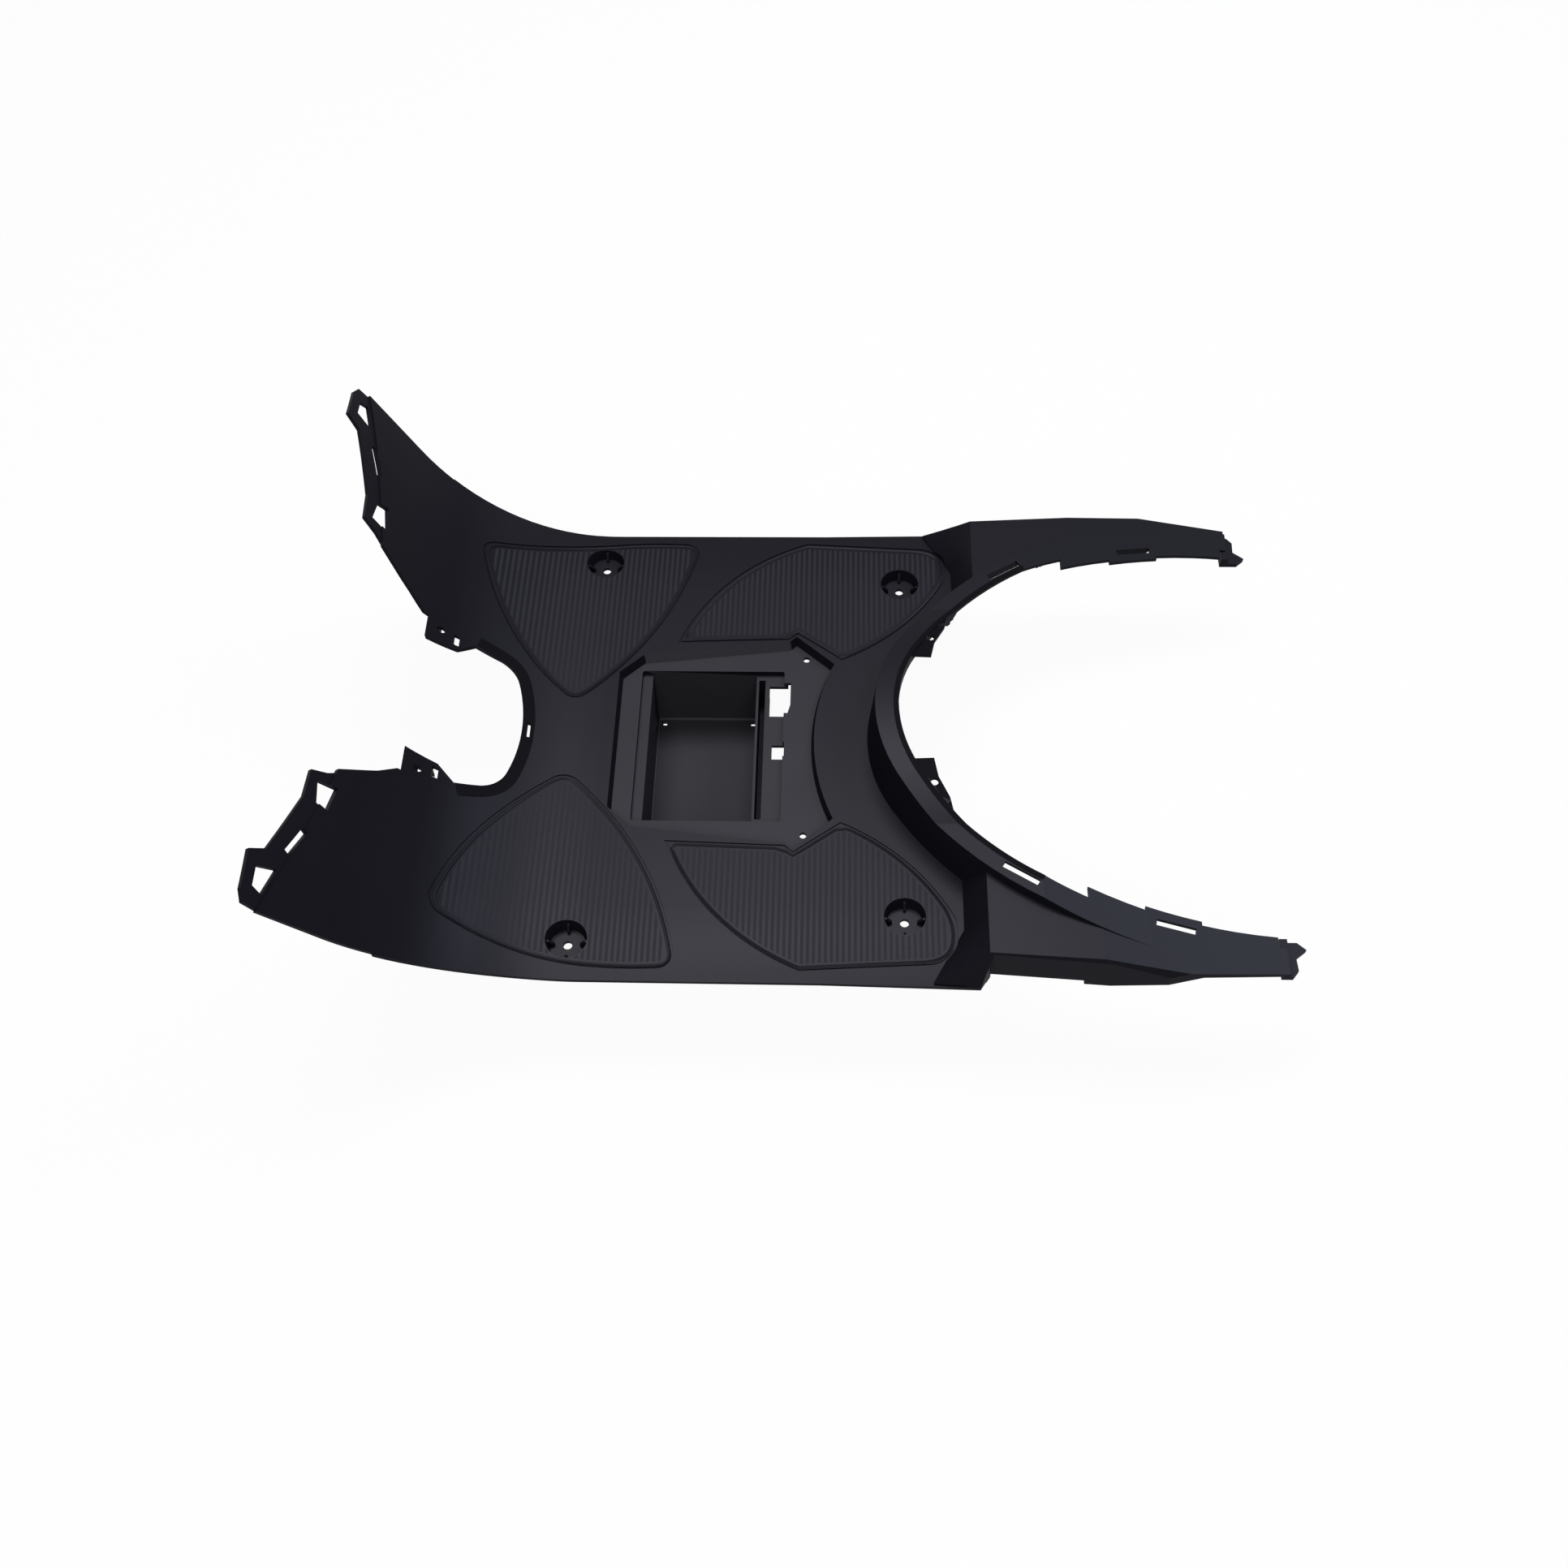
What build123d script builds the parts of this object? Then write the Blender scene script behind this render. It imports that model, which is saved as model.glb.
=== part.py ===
"""Scooter floorboard: one moulded plastic panel with kick-up wings, a battery well and two rear arms.

Millimetres. +X runs to the rear of the scooter, +Y to its right-hand side and +Z up.
The panel is drawn with its floor's top face on z = 0 and x = 0 midway between the front and rear bolts.
The finished panel is then moved so that its origin is midway between the two front bolt seats.
"""
from build123d import *
import os
from math import asin, atan2, cos, degrees, hypot, radians, sin

# Skin of the moulding and the ribs under it
SKIN = 3.0
RIB_DEPTH = 8.0
RIB_WALL = 2.0
RIM_RIB_INSET = 5.0
RIB_LONG_Y = (45.0, 118.0)
RIB_CROSS_X = (-110.0, 78.0, 148.0)

# Side profile of the floor and its kick-up
FLOOR_REAR_X = 176.0
BEND_START_X = -110.0
BEND_RADIUS = 174.0
BEND_ANGLE = 59.0
WING_RUN = 95.0
CROWN_START_Y = 150.0
CROWN_RADIUS = 540.0
SHEET_HALF_WIDTH = 240.0

# Outer edge of the floor, seen from above
FLOOR_SIDE = (-130.0, 206.3)
FLOOR_WAIST = (60.0, 206.8)
EAR = (172.0, 209.0)
WING_ROOT = (-241.0, 217.3)

# Front cut-out round the steering column, and the clip tabs on its two sides
FRONT_APEX_X = -168.7
FRONT_SHOULDER = (-175.5, 43.0)
FRONT_CORNER = (-190.0, 58.5)
FRONT_NOTCH = (-209.0, 63.5)
TAB_REAR = (-220.5, 53.0)
TAB_INNER_Y = 51.0
TAB_HOLE = (-232.0, 64.0)
TAB_HOLE_R = 2.6
TAB_SLOT = (-221.5, 61.0)
TAB_SLOT_SIZE = (4.0, 9.0)
APEX_SLOT_INSET = 4.6
APEX_SLOT_SIZE = (2.6, 13.0)

# Right-hand wing: distance up the slope from the end of the bend, and distance from the middle
WING_OVERLAP = (-45.0, 215.2)
WING_TAB = ((-45.0, 71.0), (-28.0, 72.0))
WING_INNER = ((-12.0, 83.0), (22.0, 101.5))
WING_OUTER = ((59.0, 230.3), (0.0, 222.0))

# Clip flange along the wing's front edge
FLANGE_SKIN = 3.0
FLANGE_DROP = 1.2
FLANGE_LAP = ((57.0, 228.5), (47.0, 221.0), (10.0, 108.0), (12.0, 98.5))
FLANGE_INNER_LOOP = ((29.5, 109.0), (43.5, 114.0), (45.0, 136.0))
FLANGE_OUTER_LOOP = ((64.5, 187.5), (77.5, 194.0), (74.5, 221.0))
FLANGE_TIP = (70.0, 228.5)
OUTER_LOOP_HOLE = ((67.0, 215.5), (68.5, 202.0), (52.5, 197.0), (58.5, 218.0))
INNER_LOOP_HOLE = ((33.8, 135.5), (36.5, 119.0), (19.0, 116.0), (24.0, 137.0))
FLANGE_SLOT = ((38.5, 160.0), (48.5, 182.0))
FLANGE_SLOT_WIDTH = 4.4

# Raised rim round the rear cut-out: its edge and its foot are three tangent arcs on each side of the middle
RIM_EDGE_X = 116.0
RIM_EDGE_ARCS = ((108.6, 29.4), (229.9, 35.7), (356.2, 24.2))
RIM_FOOT_X = 93.5
RIM_FOOT_ARCS = ((121.5, 31.2), (277.0, 32.6), (334.0, 27.0))
RIM_DRAFT = 6.0
RIM_TOP_Z = 47.0
RIM_CROWN_RADIUS = 425.0
LIP_DEPTH = 9.0
LIP_END_X = 160.0

# Rear arms
STEP_FOOT_X = 161.5
STEP_RUN = 15.0
FAN_START_Y = 165.0
FAN_END = (137.0, 212.0)
ARM_TOP_Z = 27.5
ARM_BEND_X = 255.0
ARM_END_X = 383.0
ARM_END_Z = 10.5
ARM_RIM_Z = 35.5
ARM_RIM_BEND_X = 215.0
ARM_RIM_END_Z = 7.0
ARM_ROOT = (179.0, 198.0)
ARM_MIDDLE = (262.0, 203.5)
ARM_BULGE = (300.0, 209.0)
ARM_END_HALF_WIDTH = 202.5
FLANK_FOOT_Z = -2.5
FLANK_TAB_X = (244.0, 262.0)
FLANK_TAB_Z = -7.5
FLANK_FADE = (323.0, 13.0)
FLANK_END_Z = 7.0
ARM_RIB_X = (230.0, 265.0, 335.0, 360.0)
ARM_RIB_WALL = 2.0
ARM_RIB_BOTTOM_Z = 6.0
ARM_RIB_GAP = 4.0
ARM_SLOTS = (((188.0, 131.0), (212.0, 146.0)), ((293.0, 169.0), (320.0, 174.5)))
ARM_SLOT_WIDTH = 5.0
ARM_SLOT_FENCE_Z = (27.0, 6.0)
ARM_LEDGE = (246.0, 378.0, 8.0)
ARM_SLOT_LUG = (286.0, 325.0, 11.0)
EAR_TOP = (178.0, 198.0, 25.5)
EAR_FRONT = (140.0, 207.5, -3.5)
EAR_REAR = (172.0, 209.5, -4.0)
TONGUE_ROOT = ((379.0, 201.0), (379.0, 174.0))
TONGUE_LOBE = ((392.5, 174.0), (398.5, 179.5), (390.5, 186.0))
TONGUE_HEEL = ((391.0, 196.0), (387.0, 201.0))
TONGUE_WEB_END_X = 384.5
TONGUE_TOP_Z = 3.5
TONGUE_SKIN = 4.0

# Clip tabs in the rear cut-out
REAR_TAB = ((118.0, 48.0), (141.0, 47.0), (144.0, 62.0), (152.0, 78.0), (155.5, 93.0), (140.0, 93.0))
REAR_TAB_DROP = 0.6
REAR_TAB_HOLE = (141.0, 66.0)
REAR_TAB_HOLE_R = 3.0

# Lid recess and battery box
RECESS_DEPTH = 8.0
RECESS_FRONT_X = -100.0
RECESS_CHAMFER = ((-100.0, 63.0), (-82.0, 80.0))
RECESS_SIDE_REAR = (33.0, 94.0)
RECESS_LUG = ((38.0, 99.0), (68.0, 72.0))
RECESS_REAR_X = 53.0
LUG_HOLE = (46.0, 82.0)
LUG_HOLE_R = 2.6
SHELF_DEPTH = 13.0
SHELF_FRONT_X = -83.0
SHELF_REAR_X = 29.0
BOX_FRONT_X = -75.0
BOX_REAR_X = 7.0
BOX_HALF_WIDTH = 70.0
BOX_DEPTH = 72.0
BOX_WALL = 2.5
BOX_CORNER_R = 2.0
DRAIN_SIZE = 3.2
DRAIN_INSET = 5.0
GUIDE_WALL = 2.0
GUIDE_GAP = 5.0
GUIDE_INSET = 5.0
GUIDE_DEPTH = 40.0
STRIP_HOLE_LARGE = ((17.5, 30.0), (32.0, 30.0), (34.0, 38.0), (34.0, 59.0), (17.5, 59.0))
STRIP_HOLE_SMALL = ((20.5, -10.5), (30.0, -10.5), (30.0, 2.5), (20.5, 2.5))

# Bolt pits
FRONT_BOLT = (-120.0, 175.0)
REAR_BOLT = (120.0, 154.0)
PIT_RIM_R = 15.0
PIT_FLOOR_R = 13.0
PIT_DEPTH = 10.0
PIT_WALL = 2.5
PIT_FLOOR = 3.0
BOLT_HOLE_R = 3.3
GUSSET_COUNT = 4
GUSSET_WALL = 1.8
GUSSET_REACH = 4.0
GUSSET_TOP_Z = -3.5
GUSSET_TOE_Z = -7.5

# Foot pads on the floor, each with a groove round it
PAD_GROOVE_WIDTH = 1.8
PAD_GROOVE_DEPTH = 1.0
FRONT_PAD = ((-133.0, 34.0), (-43.0, 195.0), (-214.0, 167.0))
FRONT_PAD_BOWS = ((-81.0, 94.0), (-130.0, 192.0), (-185.0, 91.0))
FRONT_PAD_CORNER_R = 12.0
REAR_PAD_NOSE = (-53.0, 94.0)
REAR_PAD_NOSE_BOW = (-20.0, 150.0)
REAR_PAD_SHOULDER = (45.0, 196.5)
REAR_PAD_TAIL = (156.0, 190.0)
REAR_PAD_HEEL = (155.0, 157.0)
REAR_PAD_HEEL_BOW = (120.0, 109.0)
REAR_PAD_LUG = ((74.0, 77.0), (39.0, 103.0), (32.0, 97.0))
REAR_PAD_TAIL_R = 20.0
REAR_PAD_HEEL_R = 10.0

# How far cutting tools run past the panel
REACH = 120.0


def both_sides(shape):
    """A shape together with its mirror image across the middle plane."""
    return shape + mirror(shape, Plane.XZ)


def closed(edges):
    """A face that looks up, bounded by edges on the right-hand side and their mirror images."""
    face = make_face([*edges, *[mirror(edge, Plane.XZ) for edge in edges]]).face()
    return face if face.normal_at().Z > 0 else -face


def polygon(points):
    """A flat face with straight sides through the given points."""
    return make_face(Polyline(*points, close=True))


def grown(face, amount):
    """A face with its outline moved out by an amount, or in by a negative one, and its corners kept sharp."""
    return offset(face, amount, kind=Kind.INTERSECTION)


def column(face, low=-REACH, high=REACH):
    """A face on z = 0 drawn out into an upright column between two heights."""
    return extrude(Pos(0, 0, low) * face, high - low, dir=(0, 0, 1))


def slot_face(ends, width):
    """A straight slot between the middles of its two ends."""
    (x0, y0), (x1, y1) = ends
    turn = degrees(atan2(y1 - y0, x1 - x0))
    return Pos((x0 + x1) / 2, (y0 + y1) / 2) * Rot(0, 0, turn) * Rectangle(hypot(x1 - x0, y1 - y0), width)


def bend_point(angle):
    """A point of the floor's side profile, the given angle round the bend."""
    turn = radians(angle)
    return (BEND_START_X - BEND_RADIUS * sin(turn), 0, BEND_RADIUS * (1 - cos(turn)))


def wing_plane():
    """The wing's own plane: x up the slope, y towards -Y and z out of the top face."""
    slope = radians(BEND_ANGLE)
    up_slope = (-cos(slope), 0, sin(slope))
    return Plane(bend_point(BEND_ANGLE), x_dir=up_slope, z_dir=(sin(slope), 0, cos(slope)))


def wing_column(face):
    """A face drawn in the wing plane, drawn out square to it on both wings."""
    return both_sides(wing_plane() * extrude(face, REACH / 4, both=True))


def sheet(top, bottom):
    """The floor and kick-up as one swept slab between two heights above its top face."""
    spread = asin((SHEET_HALF_WIDTH - CROWN_START_Y) / CROWN_RADIUS)

    def crown(height, share):
        reach = CROWN_RADIUS + height
        return (CROWN_START_Y + reach * sin(spread * share), reach * cos(spread * share) - CROWN_RADIUS)

    edges = [Line(crown(top, 1), crown(bottom, 1))]
    for height in (top, bottom):
        edges.append(Line((0, height), (CROWN_START_Y, height)))
        edges.append(ThreePointArc(crown(height, 0), crown(height, 0.5), crown(height, 1)))
    section = make_face([*edges, *[mirror(edge, Plane.YZ) for edge in edges]])
    bend_end = bend_point(BEND_ANGLE)
    slope = radians(BEND_ANGLE)
    wing_end = (bend_end[0] - WING_RUN * cos(slope), 0, bend_end[2] + WING_RUN * sin(slope))
    path = Wire([
        Line((FLOOR_REAR_X, 0, 0), (BEND_START_X, 0, 0)),
        ThreePointArc((BEND_START_X, 0, 0), bend_point(BEND_ANGLE / 2), bend_end),
        Line(bend_end, wing_end),
    ])
    return sweep(Plane.YZ.offset(FLOOR_REAR_X) * section, path)


def floor_face():
    """Plan of the floor and arms, before the rear cut-out is taken out."""
    apex = TangentArc((FRONT_APEX_X, 0), FRONT_SHOULDER, tangent=(0, 1))
    tab_front = (WING_ROOT[0], TAB_INNER_Y)
    arm_end = (ARM_END_X, ARM_END_HALF_WIDTH)
    return closed([
        apex,
        TangentArc(FRONT_SHOULDER, FRONT_CORNER, tangent=apex % 1),
        Polyline(FRONT_CORNER, FRONT_NOTCH, TAB_REAR, tab_front, WING_ROOT),
        TangentArc(FLOOR_SIDE, WING_ROOT, tangent=(-1, 0)),
        Polyline(FLOOR_SIDE, FLOOR_WAIST, EAR, ARM_ROOT, ARM_MIDDLE, ARM_BULGE, arm_end, (ARM_END_X, 0)),
    ])


def wing_face():
    """Right-hand wing plate, drawn in the wing plane and overlapping the floor's plan at its root."""
    return polygon([*WING_TAB, *WING_INNER, *WING_OUTER, WING_OVERLAP])


def flange_face():
    """Right-hand clip flange, drawn in the wing plane."""
    return polygon([*FLANGE_INNER_LOOP, *FLANGE_OUTER_LOOP, FLANGE_TIP, *FLANGE_LAP])


def flange_holes():
    """The flange's two loops and its slot, drawn in the wing plane."""
    return [polygon(OUTER_LOOP_HOLE), polygon(INNER_LOOP_HOLE), slot_face(FLANGE_SLOT, FLANGE_SLOT_WIDTH)]


def behind(apex_x, arcs, grow=0.0):
    """Everything behind a line of arcs that turns from the middle towards the rear, widened all round."""
    turn = 0.0
    last = arcs[0][0]
    centre = Vector(apex_x + last, 0)
    edges = []
    for radius, sector in arcs:
        centre += Vector(cos(radians(turn)), -sin(radians(turn))) * (radius - last)
        edges.append(CenterArc(centre, radius + grow, 180 - turn, -sector))
        turn += sector
        last = radius
    end = edges[-1] @ 1
    far_x = ARM_END_X + REACH
    return closed([*edges, Polyline(end, (far_x, end.Y), (far_x, 0))])


def rim_edge(grow=0.0):
    """The rear cut-out, widened all round its edge."""
    return behind(RIM_EDGE_X, RIM_EDGE_ARCS, grow)


def rim_foot(grow=0.0):
    """The raised rim and everything behind it, widened all round the foot of its riser."""
    return behind(RIM_FOOT_X, RIM_FOOT_ARCS, grow)


def strip_between(x0, x1):
    """A strip right across the panel between two stations."""
    return Pos((x0 + x1) / 2, 0) * Rectangle(x1 - x0, 4 * REACH)


def across(outline):
    """A side-view outline drawn out across the whole width of the panel."""
    return Plane.XZ * extrude(polygon(outline), SHEET_HALF_WIDTH, both=True)


def under_rim(drop):
    """Everything that lies under the rear rim's crest, lowered by a drop."""
    low_z = -REACH / 4
    front_x = RIM_FOOT_X - SKIN
    hump = Cylinder(RIM_CROWN_RADIUS, ARM_BEND_X - front_x, align=(Align.CENTER, Align.CENTER, Align.MIN))
    hump = Pos(front_x, 0, RIM_TOP_Z - drop - RIM_CROWN_RADIUS) * Rot(0, 90, 0) * hump
    above = Pos(0, 0, low_z) * Box(4 * REACH, 4 * REACH, REACH, align=(Align.CENTER, Align.CENTER, Align.MIN))
    rim_z = ARM_RIM_Z - drop
    arms = across([
        (front_x, low_z), (front_x, rim_z), (ARM_RIM_BEND_X, rim_z),
        (ARM_END_X, ARM_RIM_END_Z - drop), (ARM_END_X, low_z),
    ])
    return arms + (hump & (Pos(front_x, 0, 0) * above))


def arm_block(inward):
    """The step behind the floor and the arms' top, with every face moved in by the same amount."""
    lean = STEP_RUN / ARM_TOP_Z
    foot_x = STEP_FOOT_X + inward * hypot(1, lean)
    low_z = -REACH / 4
    top_z = ARM_TOP_Z - inward
    return across([
        (foot_x + lean * low_z, low_z), (foot_x + lean * top_z, top_z), (ARM_BEND_X, top_z),
        (ARM_END_X, ARM_END_Z - inward), (ARM_END_X, low_z),
    ])


def step_fan(inward):
    """Where the step spreads forward and flattens towards the outer edge."""
    lean = STEP_RUN / ARM_TOP_Z
    top_z = ARM_TOP_Z - inward
    low_z = -REACH / 4
    back_x = STEP_FOOT_X + 2 * STEP_RUN

    def section(foot_x, y):
        foot = foot_x + inward * hypot(1, lean)
        crest = STEP_FOOT_X + STEP_RUN + inward
        face = polygon([
            (foot + lean * low_z, low_z), (foot, 0), (crest, top_z), (back_x, top_z), (back_x, low_z),
        ])
        return Plane.XZ.offset(-y) * face

    return both_sides(loft([section(STEP_FOOT_X, FAN_START_Y), section(*FAN_END)], ruled=True))


def arm_underside():
    """Everything above the lower edge of the riser, the flanks and the arms."""
    top_z = RIM_TOP_Z + SKIN
    return across([
        (0, -SKIN / 2), (STEP_FOOT_X, -SKIN / 2), (STEP_FOOT_X, FLANK_TAB_Z), (ARM_ROOT[0], FLANK_TAB_Z),
        (ARM_ROOT[0], FLANK_FOOT_Z), (FLANK_TAB_X[0], FLANK_FOOT_Z), (FLANK_TAB_X[0], FLANK_TAB_Z),
        (FLANK_TAB_X[1], FLANK_TAB_Z), FLANK_FADE, (ARM_END_X, FLANK_END_Z), (ARM_END_X, top_z), (0, top_z),
    ])


def inside_ears(inward):
    """Everything inside the two leaning planes that carry the step's outer ends down to the floor."""
    low = Vector(*EAR_FRONT)
    along = Vector(*EAR_REAR) - low
    side = Plane(origin=low, x_dir=along, z_dir=along.cross(Vector(*EAR_TOP) - low))
    size = 8 * REACH
    half = side.offset(inward) * Box(size, size, size, align=(Align.CENTER, Align.CENTER, Align.MIN))
    return half & mirror(half, Plane.XZ)


def tapered(face, height):
    """A face on z = 0 carried straight down, and up with the riser's draft."""
    return extrude(-face, -height, taper=RIM_DRAFT) + column(face, -REACH / 4, 0)


def rear_moulding(plan):
    """Riser, rim, step and arms as one mass, and the space that hollows it from below."""
    rise = RIM_TOP_Z + SKIN
    riser = tapered(rim_foot(), rise)
    core = tapered(rim_foot(-SKIN), rise)
    mass = ((riser & under_rim(0)) + arm_block(0) + step_fan(0)) & arm_underside() & inside_ears(0)
    lip = rim_edge(SKIN) & strip_between(0, LIP_END_X)
    inner_plan = column(grown(plan, -SKIN)) - column(lip)
    space = ((core & under_rim(SKIN)) + arm_block(SKIN) + step_fan(SKIN)) & inner_plan & inside_ears(SKIN)
    rib = Sketch() + [strip_between(x, x + ARM_RIB_WALL) for x in ARM_RIB_X]
    space -= column(rib - rim_edge(ARM_RIB_GAP), ARM_RIB_BOTTOM_Z)
    for ends, fence_z in zip(ARM_SLOTS, ARM_SLOT_FENCE_Z):
        fence = Pos(0, ARM_SLOT_WIDTH) * slot_face(ends, ARM_RIB_WALL)
        space -= both_sides(column(fence, fence_z))
    opening = rim_edge()
    for x0, x1, reach in (ARM_LEDGE, ARM_SLOT_LUG):
        opening -= strip_between(x0, x1) - rim_edge(-reach)
    return mass, [space, core & under_rim(LIP_DEPTH), column(opening)]


def rear_clips():
    """The two clip tabs in the rear cut-out, with their holes, and the tongues at the arm ends."""
    tab = polygon(REAR_TAB) - Pos(*REAR_TAB_HOLE) * Circle(REAR_TAB_HOLE_R)
    tabs = both_sides(column(tab)) & (under_rim(REAR_TAB_DROP) - under_rim(REAR_TAB_DROP + SKIN))
    low_z = TONGUE_TOP_Z - TONGUE_SKIN
    plate = polygon([*TONGUE_ROOT, *TONGUE_LOBE, *TONGUE_HEEL])
    web = plate & strip_between(0, TONGUE_WEB_END_X)
    tongue = column(plate, low_z, TONGUE_TOP_Z) + column(web, low_z, ARM_END_Z - SKIN / 2)
    return [tabs, both_sides(tongue)]


def recess_face():
    """Outline of the lid recess, seen from above."""
    lug = RECESS_LUG[1]
    side = Polyline((RECESS_FRONT_X, 0), *RECESS_CHAMFER, RECESS_SIDE_REAR, *RECESS_LUG)
    rear = ThreePointArc(lug, (RECESS_REAR_X, 0), (lug[0], -lug[1]))
    return make_face([side, mirror(side, Plane.XZ), rear])


def box_face(front, rear):
    """A rounded rectangle across the battery box between two stations."""
    return Pos((front + rear) / 2, 0) * RectangleRounded(rear - front, 2 * BOX_HALF_WIDTH, BOX_CORNER_R)


def box_shell(front, rear, wall):
    """The outside of the battery box's walls between two stations."""
    return Pos((front + rear) / 2, 0) * Rectangle(rear - front + 2 * wall, 2 * (BOX_HALF_WIDTH + wall))


def battery_well():
    """The recess and battery box as a pan below the floor, and the space inside it."""
    gap_x = BOX_REAR_X + GUIDE_WALL
    gap_end_y = BOX_HALF_WIDTH - GUIDE_INSET
    gap_face = Pos(gap_x + GUIDE_GAP / 2, 0) * Rectangle(GUIDE_GAP, 2 * gap_end_y)
    pan = [
        column(grown(recess_face(), SKIN), -RECESS_DEPTH - SKIN, -SKIN / 2),
        column(box_shell(SHELF_FRONT_X, SHELF_REAR_X, SKIN), -SHELF_DEPTH - SKIN, -RECESS_DEPTH - SKIN / 2),
        column(grown(gap_face, BOX_WALL), -GUIDE_DEPTH - BOX_WALL, -SHELF_DEPTH - SKIN / 2),
        column(box_shell(BOX_FRONT_X, BOX_REAR_X, BOX_WALL), -BOX_DEPTH - BOX_WALL, -SHELF_DEPTH - SKIN / 2),
    ]
    space = [
        column(recess_face(), -RECESS_DEPTH, SKIN),
        column(box_face(SHELF_FRONT_X, SHELF_REAR_X), -SHELF_DEPTH, -SKIN),
        column(box_face(BOX_FRONT_X, BOX_REAR_X), -BOX_DEPTH, -SKIN),
        column(gap_face, -GUIDE_DEPTH, -SKIN),
        column(polygon(STRIP_HOLE_LARGE), -GUIDE_DEPTH, -SKIN),
        column(polygon(STRIP_HOLE_SMALL), -GUIDE_DEPTH, -SKIN),
    ]
    space.append(both_sides(column(Pos(*LUG_HOLE) * Circle(LUG_HOLE_R), -GUIDE_DEPTH, 0)))
    for x in (BOX_FRONT_X + DRAIN_INSET, BOX_REAR_X - DRAIN_INSET):
        drain = Pos(x, BOX_HALF_WIDTH - DRAIN_INSET) * Rectangle(DRAIN_SIZE, DRAIN_SIZE)
        space.append(both_sides(column(drain, -BOX_DEPTH - SKIN, -BOX_DEPTH + SKIN)))
    return pan, space


def bolt_pits():
    """Cups for the four bolt heads, the space in them and the gussets on their walls."""
    on_top = (Align.CENTER, Align.CENTER, Align.MIN)
    depth = PIT_DEPTH + PIT_FLOOR
    wall_r = PIT_RIM_R + PIT_WALL
    boss = Pos(0, 0, -depth) * Cylinder(wall_r, depth - SKIN / 2, align=on_top)
    cup = Pos(0, 0, -PIT_DEPTH) * Cone(PIT_FLOOR_R, PIT_RIM_R, PIT_DEPTH, align=on_top)
    cup += Cylinder(PIT_RIM_R, SKIN, align=on_top)
    cup += Pos(0, 0, -depth) * Cylinder(BOLT_HOLE_R, depth, align=on_top)
    toe = PIT_FLOOR_R - GUSSET_REACH
    root = PIT_RIM_R + PIT_WALL / 2
    sole = -PIT_DEPTH - PIT_FLOOR / 2
    crest = (PIT_FLOOR_R, GUSSET_TOP_Z)
    fin = polygon([(toe, sole), (root, sole), (root, GUSSET_TOP_Z), crest, (toe, GUSSET_TOE_Z)])
    fin = Plane.XZ * extrude(fin, GUSSET_WALL / 2, both=True)
    star = Part() + [Rot(0, 0, 90 + index * 360 / GUSSET_COUNT) * fin for index in range(GUSSET_COUNT)]
    places = [Pos(x, side * y) for x, y in (FRONT_BOLT, REAR_BOLT) for side in (-1, 1)]
    return [[place * shape for place in places] for shape in (boss, cup, star)]


def front_pad_face():
    """Right-hand front pad: three bowed sides with round corners."""
    sides = [ThreePointArc(FRONT_PAD[i - 1], FRONT_PAD_BOWS[i - 1], FRONT_PAD[i]) for i in range(3)]
    face = make_face(sides)
    return fillet(face.vertices(), FRONT_PAD_CORNER_R)


def rear_pad_face():
    """Right-hand rear pad: a leaf that follows the recess on its inner side."""
    face = make_face([
        ThreePointArc(REAR_PAD_NOSE, REAR_PAD_NOSE_BOW, REAR_PAD_SHOULDER),
        Polyline(REAR_PAD_SHOULDER, REAR_PAD_TAIL, REAR_PAD_HEEL),
        ThreePointArc(REAR_PAD_HEEL, REAR_PAD_HEEL_BOW, REAR_PAD_LUG[0]),
        Polyline(*REAR_PAD_LUG, REAR_PAD_NOSE),
    ])
    for corner, radius in ((REAR_PAD_TAIL, REAR_PAD_TAIL_R), (REAR_PAD_HEEL, REAR_PAD_HEEL_R)):
        face = fillet(face.vertices().sort_by_distance(corner)[0], radius)
    return face


def pad_grooves():
    """The grooves round the four foot pads, in right and left pairs."""
    floor_top = sheet(SKIN, -PAD_GROOVE_DEPTH)
    pads = (front_pad_face(), rear_pad_face())
    return [floor_top & both_sides(column(grown(pad, PAD_GROOVE_WIDTH) - pad)) for pad in pads]


def floor_ribs():
    """Columns over the ribs that cross the underside of the floor."""
    ribs = [Pos(x, 0) * Box(RIB_WALL, 4 * REACH, 2 * REACH) for x in RIB_CROSS_X]
    ribs += [Pos(0, side * y) * Box(4 * REACH, RIB_WALL, 2 * REACH) for y in RIB_LONG_Y for side in (-1, 1)]
    return ribs


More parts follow.
